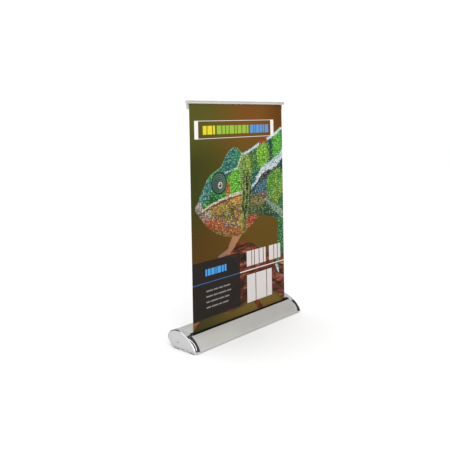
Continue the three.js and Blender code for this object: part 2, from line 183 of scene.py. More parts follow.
def solid_profile(name, loops, low, high, bevel, axis="x"):
    """A closed profile, with holes if it has several loops, run between two places."""
    curve = bpy.data.curves.new(name, "CURVE")
    curve.dimensions = "2D"
    curve.fill_mode = "BOTH"
    for loop in loops:
        spline = curve.splines.new("POLY")
        spline.points.add(len(loop) - 1)
        for point, (a, b) in zip(spline.points, loop):
            point.co = (a, b, 0, 1)
        spline.use_cyclic_u = True
    curve.extrude = (high - low) / 2 - bevel
    curve.bevel_depth = bevel
    curve.bevel_resolution = 2
    curve.offset = -bevel
    holder = bpy.data.objects.new(name, curve)
    mesh = bpy.data.meshes.new_from_object(holder)
    bpy.data.objects.remove(holder)
    middle = (low + high) / 2
    turn = Matrix(((0, 0, 1, middle), (1, 0, 0, 0), (0, 1, 0, 0), (0, 0, 0, 1)))
    mesh.transform(turn if axis == "x" else Matrix.Translation((0, 0, middle)))
    return mesh


def rounded(corners, steps=5):
    """A polygon of (a, b, radius) corners with arcs at its corners."""
    out = []
    for i, (a, b, radius) in enumerate(corners):
        here = Vector((a, b))
        before = (Vector(corners[i - 1][:2]) - here)
        after = (Vector(corners[(i + 1) % len(corners)][:2]) - here)
        if radius <= 0:
            out.append(tuple(here))
            continue
        half = before.angle(after) / 2
        back = min(radius / math.tan(half), before.length * 0.49, after.length * 0.49)
        start, end = here + before.normalized() * back, here + after.normalized() * back
        for k in range(steps + 1):
            t = k / steps
            out.append(tuple((1 - t) ** 2 * start + 2 * t * (1 - t) * here + t * t * end))
    return out


def turned(profile, centre, facets=64):
    """Points and faces of a turned shape about Z from (radius, z) pairs, closed if it meets the axis."""
    rings = []
    for radius, z in profile:
        ring = []
        for k in range(facets):
            a = 2 * math.pi * k / facets
            ring.append((centre[0] + radius * math.cos(a), centre[1] + radius * math.sin(a), z))
        rings.append(ring)
    return loft(rings)


def cut(piece_mesh, cutter_mesh):
    """The first mesh with the second one taken away."""
    target = bpy.data.objects.new("cut_target", piece_mesh)
    tool = bpy.data.objects.new("cut_tool", cutter_mesh)
    for one in (target, tool):
        bpy.context.scene.collection.objects.link(one)
    modifier = target.modifiers.new("cut", "BOOLEAN")
    modifier.object, modifier.operation, modifier.solver = tool, "DIFFERENCE", "EXACT"
    result = bpy.data.meshes.new_from_object(
        target.evaluated_get(bpy.context.evaluated_depsgraph_get())
    )
    for one in (target, tool):
        bpy.data.objects.remove(one)
    return result


def plain_mesh(name, points, faces):
    mesh = bpy.data.meshes.new(name)
    mesh.from_pydata([tuple(p) for p in points], [], faces)
    return mesh


# ---- node helpers ----
class Graph:
    """Short names for the nodes of one tree. A value is a socket or a plain number."""

    def __init__(self, tree):
        self.tree = tree

    def node(self, kind, inputs=None, **settings):
        made = self.tree.nodes.new(kind)
        for key, value in settings.items():
            setattr(made, key, value)
        for key, value in (inputs or {}).items():
            self.feed(made.inputs[key], value)
        return made

    def feed(self, socket, value):
        if isinstance(value, bpy.types.NodeSocket):
            self.tree.links.new(value, socket)
        else:
            socket.default_value = value

    def math(self, operation, *values):
        inputs = dict(enumerate(values))
        return self.node("ShaderNodeMath", inputs, operation=operation).outputs[0]

    def ramp(self, value, low, high, to_low=0.0, to_high=1.0, smooth=True):
        """Value from low to high becomes to_low to to_high, held at both ends."""
        return self.node(
            "ShaderNodeMapRange",
            {0: value, 1: low, 2: high, 3: to_low, 4: to_high},
            interpolation_type="SMOOTHSTEP" if smooth else "LINEAR",
        ).outputs[0]

    def mix(self, share, first, second, blend="MIX"):
        made = self.node("ShaderNodeMix", data_type="RGBA", blend_type=blend)
        self.feed(made.inputs["Factor"], share)
        self.feed(made.inputs[6], first)
        self.feed(made.inputs[7], second)
        return made.outputs[2]

    def noise(self, place, scale, detail=2.0, roughness=0.5, distortion=0.0):
        return self.node("ShaderNodeTexNoise", {
            "Vector": place,
            "Scale": scale,
            "Detail": detail,
            "Roughness": roughness,
            "Distortion": distortion,
        }).outputs["Fac"]

    def stretch(self, place, scale):
        return self.node("ShaderNodeMapping", {"Vector": place, "Scale": scale}).outputs[0]

    def bump(self, height, strength, distance):
        return self.node(
            "ShaderNodeBump",
            {"Height": height, "Strength": strength, "Distance": distance},
        ).outputs[0]


def tint(red, green, blue):
    """A colour from 0 to 255 as seen on a screen, as the shader's own linear values."""
    linear = []
    for c in (red, green, blue):
        c /= 255
        linear.append(c / 12.92 if c <= 0.04045 else ((c + 0.055) / 1.055) ** 2.4)
    return (*linear, 1)


def new_material(name, **principled):
    material = bpy.data.materials.new(name)
    material.use_nodes = True
    graph = Graph(material.node_tree)
    shader = material.node_tree.nodes["Principled BSDF"]
    for key, value in principled.items():
        shader.inputs[key.replace("_", " ")].default_value = value
    place = graph.node("ShaderNodeTexCoord").outputs["Object"]
    return material, graph, shader, place


def metal(name, colour, roughness, grain=(1, 1, 1), depth=0.0, mottle=0.06, metallic=1.0):
    """A metal with a fine grain, slight colour clouds and uneven polish."""
    material, g, shader, place = new_material(name, Metallic=metallic)
    clouds = g.noise(place, 9, 3)
    fine = g.noise(g.stretch(place, grain), 900, 3, 0.6)
    darker = tuple(c * (1 - mottle * 2) for c in colour[:3]) + (1,)
    g.feed(shader.inputs["Base Color"], g.mix(g.ramp(clouds, 0.35, 0.7), colour, darker))
    uneven = g.ramp(g.math("ADD", clouds, g.math("MULTIPLY", fine, 0.5)), 0.5, 1.1, -0.15, 0.15)
    g.feed(shader.inputs["Roughness"], g.math("MULTIPLY", g.math("ADD", 1, uneven), roughness))
    if depth:
        g.feed(shader.inputs["Normal"], g.bump(fine, 0.35, depth))
    return material


def moulded(name, colour, roughness, grain=700, depth=0.00006, speckle=0.1, **more):
    """Plastic, paint or rubber with a fine moulded grain."""
    material, g, shader, place = new_material(name, **more)
    fine = g.noise(place, grain, 4, 0.65)
    broad = g.noise(place, 14, 3)
    lighter = tuple(min(1, c * (1 + speckle) + 0.01 * speckle) for c in colour[:3]) + (1,)
    darker = tuple(c * (1 - speckle) for c in colour[:3]) + (1,)
    shade = g.ramp(g.math("ADD", g.math("MULTIPLY", fine, 0.5), g.math("MULTIPLY", broad, 0.5)), 0.35, 0.65)
    g.feed(shader.inputs["Base Color"], g.mix(shade, darker, lighter))
    g.feed(shader.inputs["Roughness"], g.ramp(broad, 0.3, 0.7, roughness * 0.88, roughness * 1.12))
    g.feed(shader.inputs["Normal"], g.bump(fine, 0.3, depth))
    return material


ANODISED = metal("anodised_aluminium", tint(206, 205, 199), 0.42, (0.03, 1, 1), 0.00002, metallic=0.4)
CHROME = metal("chrome", tint(222, 223, 224), 0.06, mottle=0.02)
STEEL = metal("steel", tint(150, 150, 152), 0.32, (1, 1, 0.05), 0.00003)
PLATE = moulded("grey_plate", tint(187, 187, 187), 0.42, 500, 0.00003, 0.03)
BLACK = moulded("black_plastic", tint(30, 30, 31), 0.45)
RUBBER = moulded("rubber", tint(34, 34, 34), 0.8, 420, 0.0001, 0.2)
LINER = moulded("liner_film", tint(214, 214, 211), 0.45, 260, 0.00002, 0.03)
FILM_BACK = moulded("film_back", tint(196, 197, 198), 0.4, 300, 0.00002, 0.03)


# ---- the print: an own picture of a reptile on a branch, with plain bars where a banner has words ----
ASPECT = (FILM_HIGH.z - PRINT_BOTTOM) / FILM_WIDTH
WHITE = tint(228, 224, 218)
SILVER = tint(204, 198, 196)


class Picture(Graph):
    """Paints shapes over each other. Places are (across, down) from 0 to 1, sizes in film widths."""

    def __init__(self, tree, colour):
        super().__init__(tree)
        uv = self.node("ShaderNodeUVMap", uv_map="print").outputs[0]
        self.place = self.vector("MULTIPLY_ADD", uv, (1, -ASPECT, 0), (0, ASPECT, 0))
        self.across, self.down = self.split(self.place)
        self.colour = colour

    def vector(self, operation, *values):
        made = self.node("ShaderNodeVectorMath", dict(enumerate(values)), operation=operation)
        return made.outputs["Value" if operation in ("DOT_PRODUCT", "LENGTH") else "Vector"]

    def part(self, vector, axis):
        """One coordinate. A dot product holds less shader memory than a Separate node."""
        direction = [0.0, 0.0, 0.0]
        direction[axis] = 1.0
        return self.vector("DOT_PRODUCT", vector, direction)

    def split(self, vector):
        return self.part(vector, 0), self.part(vector, 1)

    def local(self, centre, size, turn=0.0, place=None):
        """Coordinates about a centre in which the shape's half-size is 1."""
        c, s = math.cos(math.radians(turn)), math.sin(math.radians(turn))
        out = []
        for half, (x, y) in zip(size, ((c, s), (-s, c))):
            along = self.vector("DOT_PRODUCT", place or self.place, (x / half, y / half, 0))
            out.append(self.math("SUBTRACT", along, (centre[0] * x + centre[1] * ASPECT * y) / half))
        return out

    def length(self, x, y):
        return self.vector("LENGTH", self.node("ShaderNodeCombineXYZ", {0: x, 1: y}).outputs[0])

    def ellipse(self, centre, size, turn=0.0, place=None):
        """1 on the edge, less inside."""
        return self.length(*self.local(centre, size, turn, place))

    def box(self, centre, size, soft=0.0015):
        """A mask that is 1 inside a rectangle."""
        middle = (centre[0], centre[1] * ASPECT)
        masks = [
            self.ramp(self.math("ABSOLUTE", self.math("SUBTRACT", value, at)), half + soft, half - soft)
            for value, at, half in zip((self.across, self.down), middle, size)
        ]
        return self.math("MULTIPLY", *masks)

    def curve(self, value, points):
        """A smooth curve through (in, out) points."""
        made = self.node("ShaderNodeFloatCurve", {"Value": value})
        line = made.mapping.curves[0]
        while len(line.points) < len(points):
            line.points.new(0.5, 0.5)
        for point, (x, y) in zip(line.points, points):
            point.location, point.handle_type = (x, y), "AUTO"
        made.mapping.update()
        return made.outputs[0]

    def below(self, points, place=None, soft=0.004):
        """A mask that is 1 below a line of (across, down) points."""
        x, y = self.split(place) if place else (self.across, self.down)
        edge = self.math("MULTIPLY", self.curve(x, points), ASPECT)
        return self.ramp(self.math("SUBTRACT", y, edge), -soft, soft)

    def band(self, points, widths, place=None, soft=0.003):
        """A stroke along a line of points; widths are (across, half-width) points."""
        x, y = self.split(place) if place else (self.across, self.down)
        off = self.math("ABSOLUTE", self.math(
            "SUBTRACT", y, self.math("MULTIPLY", self.curve(x, points), ASPECT)
        ))
        gap = self.math("SUBTRACT", off, self.curve(x, widths))
        return self.ramp(gap, soft, -soft)

    def limb(self, a, b, start, end, place=None, soft=0.004):
        """A mask for a rounded limb that narrows from one place to another."""
        reach = Vector((b[0] - a[0], (b[1] - a[1]) * ASPECT))
        turn = math.degrees(math.atan2(reach.y, reach.x))
        x, y = self.local(a, (1, 1), turn, place)
        along = self.ramp(x, 0, reach.length, 0, reach.length, smooth=False)
        width = self.ramp(x, 0, reach.length, start, end, smooth=False)
        gap = self.math("SUBTRACT", self.length(self.math("SUBTRACT", x, along), y), width)
        return self.ramp(gap, soft, -soft)

    def inside(self, field, edge=1.0, soft=0.05):
        return self.ramp(field, edge + soft, edge - soft)

    def all(self, *masks):
        total = masks[0]
        for mask in masks[1:]:
            total = self.math("MULTIPLY", total, mask)
        return total

    def any(self, *masks):
        total = masks[0]
        for mask in masks[1:]:
            total = self.math("MAXIMUM", total, mask)
        return total

    def cells(self, place, scale, feature="F1", spread=1.0):
        return self.node(
            "ShaderNodeTexVoronoi",
            {"Vector": place, "Scale": scale, "Randomness": spread},
            feature=feature,
            voronoi_dimensions="2D",
        ).outputs

    def warp(self, amount, scale):
        """The picture's place, shaken sideways by noise."""
        shift = self.node("ShaderNodeTexNoise", {
            "Vector": self.place, "Scale": scale, "Detail": 2.0,
        }, noise_dimensions="2D").outputs["Color"]
        centred = self.vector("SUBTRACT", shift, (0.5, 0.5, 0.5))
        return self.vector("MULTIPLY_ADD", centred, (amount, amount, 0), self.place)

    def paint(self, mask, colour, blend="MIX"):
        self.colour = self.mix(mask, self.colour, colour, blend)


def paint_background(p):
    """Out-of-focus leaves: olive at the left, brown at the right, green ground."""
    blur = p.math("MULTIPLY", p.noise(p.place, 1.6, 1, 0.4), 0.3)
    warm = p.ramp(p.math("ADD", p.across, blur), 0.15, 0.8)
    p.colour = p.mix(warm, tint(79, 78, 27), tint(112, 70, 20))
    p.paint(p.ramp(p.across, 0.7, 1.0), tint(93, 54, 10))
    middle = p.mix(warm, tint(53, 58, 12), tint(92, 72, 16))
    p.paint(p.ramp(p.math("ADD", p.down, blur), 0.25, 0.6), middle)
    low = p.mix(warm, tint(76, 50, 10), tint(90, 66, 10))
    p.paint(p.ramp(p.down, 0.62, 1.0), low)
    ground = p.mix(warm, tint(56, 54, 18), tint(104, 84, 36))
    p.paint(p.ramp(p.down, ASPECT * 0.88, ASPECT * 0.97), ground)


def paint_branches(p):
    """Gnarled red-brown branches that cross the lower right."""
    place = p.warp(0.05, 5)
    strands = p.node("ShaderNodeMapping", {
        "Vector": place, "Rotation": (0, 0, math.radians(-28)), "Scale": (3, 26, 1),
    }).outputs[0]
    bark = p.noise(strands, 1.3, 4, 0.65, 1.6)
    wood = p.mix(p.ramp(bark, 0.36, 0.56), tint(34, 14, 10), tint(120, 58, 36))
    wood = p.mix(p.ramp(bark, 0.56, 0.70), wood, tint(170, 116, 96))
    runs = [
        ([(0, 0.80), (0.40, 0.675), (0.55, 0.69), (0.8, 0.76), (1, 0.80)], 0.040),
        ([(0, 0.98), (0.5, 0.80), (0.7, 0.78), (0.85, 0.82), (1, 0.90)], 0.052),
        ([(0, 0.70), (0.4, 0.70), (0.52, 0.80), (0.6, 0.90), (1, 1.2)], 0.034),
        ([(0, 0.96), (0.42, 0.93), (0.6, 0.84), (0.8, 0.88), (1, 0.98)], 0.030),
    ]
    start = p.ramp(p.across, 0.3, 0.40)
    thicket = p.all(
        start,
        p.below([(0, 0.9), (0.45, 0.71), (0.55, 0.70), (0.75, 0.78), (1, 0.88)], place, 0.02),
        p.math("SUBTRACT", 1.0, p.below([(0, 0.9), (0.5, 0.95), (0.7, 0.91), (1, 1.0)], place, 0.03)),
    )
    p.paint(thicket, p.mix(p.ramp(bark, 0.4, 0.6), tint(28, 18, 14), tint(66, 34, 20)))
    for points, width in runs:
        mask = p.band(points, [(0, width), (0.5, width), (1, width * 1.3)], place, 0.006)
        mask = p.all(mask, start)
        p.paint(mask, wood)
        p.paint(p.all(mask, p.ramp(p.noise(place, 16, 3), 0.48, 0.62, 0, 0.6)), tint(30, 18, 16))
    twig_line = [(0, 0.975), (0.1, 0.955), (0.3, 0.975), (1, 1)]
    twig = p.band(twig_line, [(0, 0.018), (0.14, 0.004), (1, 0)], place)
    p.paint(twig, wood)


def paint_reptile(p):
    """A scaly reptile that looks left: body first, then legs, head, jaw and eye."""
    place = p.warp(0.012, 22)
    rows = p.cells(place, 62, spread=0.55)
    scale_edge = p.ramp(rows["Distance"], 0.25, 0.62)
    scale_tone = p.part(rows["Color"], 0)

    green, lime = tint(70, 148, 50), tint(126, 184, 50)
    teal, deep = tint(30, 92, 80), tint(22, 50, 50)
    pale = tint(196, 214, 220)

    crest = [(0, 0.5), (0.5, 0.245), (0.63, 0.212), (0.75, 0.18), (0.87, 0.152), (1, 0.11)]
    belly = [(0, 0.5), (0.45, 0.6), (0.6, 0.585), (0.7, 0.548), (0.85, 0.56), (1, 0.60)]
    spiky = p.math("MULTIPLY", p.math("ABSOLUTE", p.math("SINE", p.math("MULTIPLY", p.across, 190))), 0.012)
    ragged = p.vector("SUBTRACT", place, p.node("ShaderNodeCombineXYZ", {1: spiky}).outputs[0])
    body = p.all(
        p.below(crest, ragged),
        p.math("SUBTRACT", 1.0, p.below(belly, place)),
        p.ramp(p.across, 0.46, 0.50),
    )
    stripes = p.noise(p.stretch(place, (9, 1.7, 1)), 1.0, 3, 0.6, 0.6)
    skin = p.mix(p.ramp(stripes, 0.44, 0.56), deep, teal)
    p.paint(body, skin)
    patches = [
        ((0.52, 0.33), (0.05, 0.15), green),
        ((0.58, 0.30), (0.045, 0.13), tint(132, 164, 58)),
        ((0.755, 0.245), (0.075, 0.115), lime),
        ((0.935, 0.20), (0.06, 0.13), tint(92, 180, 60)),
        ((0.66, 0.27), (0.03, 0.09), tint(74, 120, 52)),
        ((0.74, 0.40), (0.10, 0.07), tint(64, 104, 120)),
        ((0.78, 0.455), (0.08, 0.04), tint(140, 108, 136)),
        ((0.70, 0.47), (0.11, 0.05), tint(122, 108, 60)),
        ((0.68, 0.52), (0.10, 0.045), tint(70, 92, 48)),
        ((0.60, 0.565), (0.11, 0.05), tint(170, 66, 44)),
        ((0.53, 0.595), (0.07, 0.035), tint(206, 128, 56)),
        ((0.88, 0.52), (0.14, 0.05), tint(52, 84, 50)),
        ((0.50, 0.47), (0.02, 0.16), tint(150, 160, 60)),
    ]
    for centre, size, colour in patches:
        p.paint(p.all(body, p.inside(p.ellipse(centre, size, 0, place), 1, 0.5)), colour)

    ridge = p.band(crest, [(0, 0.006), (1, 0.012)], ragged, 0.004)
    reddish = p.ramp(p.noise(p.place, 11, 1), 0.5, 0.56)
    p.paint(p.all(ridge, p.ramp(p.across, 0.5, 0.54)), p.mix(reddish, pale, tint(172, 54, 44)))

    stripe = [(0, 0.5), (0.6, 0.415), (0.7, 0.352), (0.8, 0.312), (0.9, 0.292), (1, 0.25)]
    jag = p.warp(0.05, 15)
    p.paint(
        p.all(body, p.band(stripe, [(0, 0), (0.6, 0.0), (0.68, 0.022), (0.85, 0.028), (1, 0.034)], jag)),
        pale,
    )
    under = [(u, v + 0.028) for u, v in stripe]
    p.paint(
        p.all(body, p.band(under, [(0, 0), (0.62, 0.004), (0.75, 0.022), (0.9, 0.01), (1, 0.0)], jag)),
        tint(66, 42, 36),
    )

    shoulder = p.ellipse((0.93, 0.41), (0.13, 0.135), 8, place)
    p.paint(p.inside(shoulder, 1, 0.12), p.mix(p.ramp(stripes, 0.42, 0.56), green, tint(126, 154, 50)))
    arm = p.any(
        p.limb((1.0, 0.50), (0.985, 0.60), 0.07, 0.05, place),
        p.limb((0.975, 0.60), (0.965, 0.74), 0.052, 0.040, place),
        p.limb((0.955, 0.74), (0.90, 0.83), 0.028, 0.014, place),
    )
    p.paint(arm, p.mix(p.ramp(stripes, 0.44, 0.54), tint(28, 66, 66), tint(52, 112, 62)))
    p.paint(p.limb((0.78, 0.470), (1.0, 0.56), 0.010, 0.034, place), tint(130, 156, 128))
    p.paint(p.limb((0.905, 0.81), (0.93, 0.85), 0.012, 0.004, place), pale)

    hand = p.any(
        p.limb((0.46, 0.61), (0.36, 0.685), 0.038, 0.022, place),
        p.limb((0.36, 0.68), (0.26, 0.70), 0.020, 0.010, place),
    )
    p.paint(hand, p.mix(p.ramp(p.across, 0.28, 0.46), tint(132, 98, 84), tint(160, 112, 76)))

    brow = [(0, 0.47), (0.045, 0.452), (0.10, 0.395), (0.17, 0.33), (0.24, 0.305),
            (0.30, 0.285), (0.35, 0.238), (0.41, 0.208), (0.47, 0.204), (0.51, 0.226), (1, 0.3)]
    chin = [(0, 0.45), (0.04, 0.468), (0.09, 0.508), (0.18, 0.562), (0.30, 0.60),
            (0.42, 0.617), (0.50, 0.618), (0.58, 0.60), (1, 0.5)]
    head = p.all(
        p.below(brow, place),
        p.math("SUBTRACT", 1.0, p.below(chin, place)),
        p.ramp(p.across, 0.57, 0.53),
        p.ramp(p.across, 0.036, 0.044),
    )
    tone = p.noise(p.stretch(place, (3, 3, 1)), 2.2, 2)
    p.paint(head, p.mix(p.ramp(tone, 0.4, 0.6), tint(58, 136, 50), tint(60, 158, 74)))
    for centre, size, colour in (
        ((0.45, 0.36), (0.08, 0.10), tint(96, 178, 44)),
        ((0.53, 0.33), (0.04, 0.15), tint(120, 150, 70)),
        ((0.50, 0.24), (0.03, 0.06), tint(134, 150, 96)),
        ((0.20, 0.43), (0.07, 0.04), tint(30, 104, 48)),
    ):
        p.paint(p.all(head, p.inside(p.ellipse(centre, size, 0, place), 1, 0.4)), colour)
    mouth = [(0, 0.475), (0.05, 0.48), (0.2, 0.453), (0.35, 0.43), (0.5, 0.418), (1, 0.4)]
    jaw = p.all(head, p.below(mouth, place, 0.01))
    beads = p.mix(p.ramp(scale_tone, 0.35, 0.6), tint(166, 96, 44), tint(100, 96, 88))
    beads = p.mix(p.ramp(p.part(rows["Color"], 1), 0.6, 0.8), beads, tint(172, 152, 70))
    p.paint(jaw, beads)
    fans = [
        ((0.22, 0.548), (0.12, 0.038), 16, tint(204, 84, 34)),
        ((0.42, 0.600), (0.12, 0.036), 4, tint(196, 112, 54)),
        ((0.36, 0.50), (0.07, 0.05), 0, tint(104, 112, 36)),
        ((0.41, 0.50), (0.02, 0.05), 0, tint(52, 48, 30)),
        ((0.47, 0.45), (0.06, 0.03), 0, tint(222, 150, 44)),
        ((0.30, 0.475), (0.10, 0.025), -8, tint(180, 150, 60)),
        ((0.51, 0.54), (0.02, 0.10), 0, tint(170, 160, 50)),
        ((0.13, 0.50), (0.06, 0.04), 10, tint(166, 146, 140)),
    ]
    for centre, size, turn, colour in fans:
        p.paint(p.all(jaw, p.inside(p.ellipse(centre, size, turn, place), 1, 0.35), 0.6), colour)
    lip = p.band(mouth, [(0, 0.006), (0.3, 0.007), (0.5, 0.014), (1, 0)], place)
    p.paint(p.all(head, lip), tint(214, 200, 178))
    crease = p.band([(u, v + 0.012) for u, v in mouth], [(0, 0.003), (1, 0.004)], place)
    p.paint(p.all(head, crease), tint(70, 52, 48))

    casque = p.all(head, p.inside(p.ellipse((0.40, 0.262), (0.15, 0.075), -38, place), 1, 0.06))
    p.paint(casque, p.mix(p.ramp(tone, 0.42, 0.58), tint(46, 116, 108), tint(52, 136, 96)))
    snout = p.all(head, p.inside(p.ellipse((0.115, 0.405), (0.13, 0.05), -44, place), 1, 0.08))
    p.paint(snout, tint(66, 128, 122))
    nose = p.inside(p.ellipse((0.06, 0.458), (0.05, 0.035), -20, place), 1, 0.2)
    p.paint(p.all(head, nose), tint(178, 160, 152))
    p.paint(p.all(head, p.limb((0.53, 0.225), (0.47, 0.30), 0.008, 0.006, place)), tint(196, 196, 150))
    p.paint(p.all(head, p.limb((0.47, 0.30), (0.34, 0.315), 0.007, 0.006, place)), tint(178, 196, 176))
    cheek = p.inside(p.ellipse((0.365, 0.395), (0.022, 0.05), 8, place), 1, 0.6)
    p.paint(p.all(head, cheek), tint(186, 104, 44))
    p.paint(p.all(head, p.band(brow, [(0, 0.006), (0.5, 0.006), (1, 0)], place), 0.6), tint(136, 168, 156))
    neck = p.inside(p.ellipse((0.56, 0.435), (0.055, 0.185), 6, place), 1, 0.4)
    beaded = p.noise(p.stretch(place, (46, 8, 1)), 1.0, 2, 0.6, 0.8)
    p.paint(neck, p.mix(p.ramp(beaded, 0.44, 0.56), tint(34, 38, 24), tint(128, 146, 66)))

    whole = p.any(body, head, arm, p.inside(shoulder, 1, 0.05))
    p.paint(p.all(whole, p.math("MULTIPLY", scale_edge, 0.6)), tint(18, 26, 20))
    glint = p.all(p.ramp(rows["Distance"], 0.34, 0.05, 0, 0.75), p.ramp(scale_tone, 0.45, 1.0))
    p.paint(p.all(whole, glint), tint(200, 214, 176), "SCREEN")
    p.paint(p.all(whole, p.ramp(scale_tone, 0.35, 0.1, 0, 0.4)), tint(20, 34, 30))
    chin_line = p.math("MULTIPLY", p.curve(p.across, chin), ASPECT)
    under_side = p.ramp(p.math("SUBTRACT", p.down, chin_line), -0.09, 0.0, 0, 0.35)
    p.paint(p.all(head, under_side), tint(60, 34, 26))

    socket = p.ellipse((0.275, 0.360), (0.080, 0.080), 0, p.warp(0.006, 12))
    p.paint(p.inside(socket, 1.0, 0.08), tint(26, 32, 28))
    rings = p.math("SINE", p.math("MULTIPLY", socket, 34))
    dome = p.mix(p.ramp(rings, -1, 1), tint(48, 74, 66), tint(82, 112, 100))
    p.paint(p.inside(socket, 0.88, 0.06), dome)
    shade = p.inside(p.ellipse((0.245, 0.375), (0.05, 0.07), 20), 1, 0.5)
    p.paint(p.all(p.inside(socket, 0.88, 0.06), shade, 0.45), tint(44, 40, 44))
    pupil = p.ellipse((0.287, 0.370), (0.021, 0.023))
    p.paint(p.inside(pupil, 1.0, 0.12), tint(206, 196, 168))
    p.paint(p.inside(pupil, 0.68, 0.1), tint(18, 14, 14))
    p.paint(p.inside(p.ellipse((0.282, 0.3665), (0.005, 0.005)), 1, 0.3), WHITE)


def bars(p, start, end, down, high, colour, pieces, seed):
    """A row of plain bars of uneven length, where a banner has a line of words."""
    spacing = 0.008
    shares = [1 + 0.35 * math.sin(seed + 2.4 * i) for i in range(pieces)]
    unit = (end - start + spacing) / sum(shares)
    at, masks = start, []
    for share in shares:
        width = unit * share - spacing
        masks.append(p.box((at + width / 2, down), (width / 2, high / 2)))
        at += width + spacing
    p.paint(p.any(*masks), colour)


def paint_layout(p):
    """Title frame, side panel, rules and blocks. Nothing here is lettering."""
    frame_mid, (wide, tall) = (0.47, 0.115), (0.425, 0.062)
    outer = p.box(frame_mid, (wide, tall))
    inner = p.box(frame_mid, (wide - 0.003, tall - 0.0035))
    p.paint(p.math("SUBTRACT", outer, inner), WHITE)
    for at in (0.0625, 0.875):
        p.paint(p.box((at, frame_mid[1]), (0.018, tall)), WHITE)
    bars(p, 0.125, 0.245, 0.117, 0.060, tint(214, 200, 40), 3, 0)
    bars(p, 0.262, 0.60, 0.117, 0.060, tint(142, 180, 60), 8, 1)
    bars(p, 0.617, 0.83, 0.117, 0.060, tint(84, 146, 200), 6, 2)

    panel = p.box((0.24, 0.828), (0.24, 0.128 * ASPECT))
    p.paint(p.math("MULTIPLY", panel, 0.95), tint(30, 27, 26))
    bars(p, 0.125, 0.335, 0.752, 0.046, tint(70, 150, 214), 7, 4)
    for i, (end, seed) in enumerate(((0.37, 1), (0.38, 3), (0.36, 5), (0.35, 6))):
        bars(p, 0.13, end, 0.836 + 0.0245 * i, 0.009, tint(132, 130, 130), 4, seed)
    p.paint(p.box((0.24, 0.797), (0.24, 0.0022)), tint(62, 108, 160))
    p.paint(p.box((0.74, 0.797), (0.26, 0.003)), WHITE)
    bars(p, 0.555, 0.775, 0.741, 0.112, SILVER, 5, 2)
    bars(p, 0.815, 0.955, 0.741, 0.112, SILVER, 3, 1)
    bars(p, 0.555, 0.845, 0.886, 0.205, SILVER, 3, 0)


def print_material():
    material = bpy.data.materials.new("banner_print")
    material.use_nodes = True
    p = Picture(material.node_tree, tint(96, 84, 40))
    shader = material.node_tree.nodes["Principled BSDF"]
    shader.inputs["Specular IOR Level"].default_value = 0.05
    paint_background(p)
    paint_branches(p)
    paint_reptile(p)
    paint_layout(p)
    # Painted shade: the film below the print's lower edge, down in the slot, is painted near black for the
    # slot's shadow.
    p.paint(p.ramp(p.down, ASPECT - 0.001, ASPECT + 0.001), tint(14, 15, 12))
    grain = p.noise(p.place, 420, 2)
    p.paint(p.ramp(grain, 0.4, 0.7, 0.0, 0.06), tint(120, 112, 96))
    p.feed(shader.inputs["Base Color"], p.colour)
    broad = p.noise(p.place, 5, 2)
    p.feed(shader.inputs["Roughness"], p.ramp(broad, 0.3, 0.7, 0.40, 0.50))
    p.feed(shader.inputs["Normal"], p.bump(grain, 0.2, 0.00002))
    return material


FILM_FRONT = print_material()

# ---- cassette ----
CASING_X = CASING_HIGH.x


def casing_profile():
    """The extrusion's C: its outside from the slot's front lip round to the rear lip, and back inside."""
    outer, inner = inset(CASING_INSET), inset(CASING_INSET + CASING_WALL)
    top = outer[:, 1] > 25 * MM
    gap = np.flatnonzero(top & (outer[:, 0] > SLOT_FRONT) & (outer[:, 0] < SLOT_REAR))
    last = gap[-1]
    outside = np.roll(outer, -last - 1, 0)[: len(outer) - len(gap)]
    inside = np.roll(inner, -last - 1, 0)[: len(inner) - len(gap)]

    def lip(start, end, lean):
        """A rounded bead from one end point to the other."""
        start, end = Vector(start), Vector(end)
        middle, radius = (start + end) / 2, (start - end).length / 2 * 1.15
        begin = (start - middle).normalized()
        side = Vector((begin.y, -begin.x)) * lean
        return [
            tuple(middle + radius * (begin * math.cos(a) + side * math.sin(a)))
            for a in np.linspace(0, math.pi, 10)
        ]

    loop = list(map(tuple, outside)) + lip(outside[-1], inside[-1], -1)
    loop += list(map(tuple, inside[::-1])) + lip(inside[0], outside[0], -1)
    return loop


casing_mesh = solid_profile("casing", [casing_profile()], -CASING_X, CASING_X, 0.15 * MM)
hole = plain_mesh("hole", *turned(
    [(6.7 * MM, SOCKET_HIGH.z - 12 * MM), (6.7 * MM, SOCKET_HIGH.z + 9 * MM)], (0, POLE_Y)
))
finish_mesh("cassette_casing", cut(casing_mesh, hole), ANODISED, "cassette", 30, "casing")


